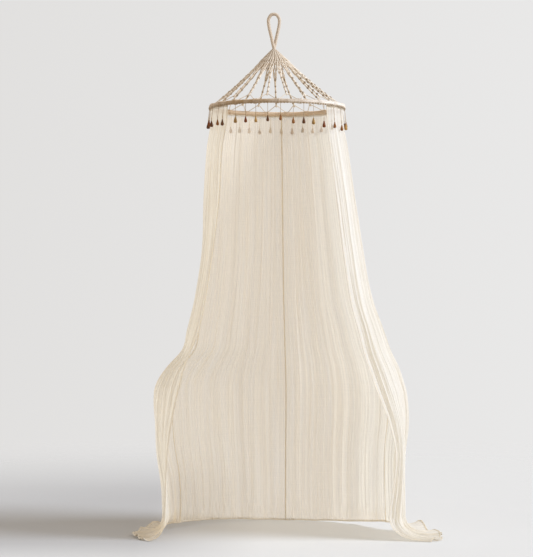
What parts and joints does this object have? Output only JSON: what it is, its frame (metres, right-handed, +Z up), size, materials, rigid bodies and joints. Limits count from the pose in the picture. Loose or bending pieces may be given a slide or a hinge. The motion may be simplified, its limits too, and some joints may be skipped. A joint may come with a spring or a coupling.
{
  "type": "macrame canopy with hoop",
  "caption": "Hanging canopy: a rope loop and knotted macrame crown carry a wrapped hoop with drop beads and sheer gauze panels that fall open at the front to the floor.",
  "frame": {"origin": "the hook point, at the middle of the inside top of the hanging loop", "axes": "+Z up, +Y from the open front to the back, +X to the right as seen from the front; the floor that the hem reaches is 2.342 m below the origin"},
  "size_m": [1.3938, 0.8098, 2.3545],
  "materials": {
    "gauze": "crinkled sheer cotton gauze, matt",
    "crown_cord": "twisted cotton cord, matt",
    "loop_rope": "round cotton rope, matt",
    "hoop_wrap": "close wrapped cotton cord, matt",
    "bead_string": "thin cotton string, matt",
    "bead_wood": "stained turned wood, satin"
  },
  "bodies": {
    "root": {"hanging_loop": "loop_rope", "macrame_crown": "crown_cord", "hoop": "hoop_wrap", "bead_strings": "bead_string", "bead_01": "bead_wood", "bead_02": "bead_wood", "bead_03": "bead_wood", "bead_04": "bead_wood", "bead_05": "bead_wood", "bead_06": "bead_wood", "bead_07": "bead_wood", "bead_08": "bead_wood", "bead_09": "bead_wood", "bead_10": "bead_wood", "bead_11": "bead_wood", "bead_12": "bead_wood", "bead_13": "bead_wood", "bead_14": "bead_wood", "bead_15": "bead_wood", "bead_16": "bead_wood", "bead_17": "bead_wood", "bead_18": "bead_wood", "bead_19": "bead_wood", "bead_20": "bead_wood", "bead_21": "bead_wood", "bead_22": "bead_wood", "bead_23": "bead_wood", "bead_24": "bead_wood", "bead_25": "bead_wood", "bead_26": "bead_wood", "bead_27": "bead_wood", "bead_28": "bead_wood", "bead_29": "bead_wood", "bead_30": "bead_wood", "bead_31": "bead_wood", "bead_32": "bead_wood", "bead_33": "bead_wood", "bead_34": "bead_wood", "bead_35": "bead_wood", "bead_36": "bead_wood", "panel_left_front": "gauze", "panel_left_back": "gauze", "panel_right_back": "gauze", "panel_right_front": "gauze"}
  },
  "joints": []
}
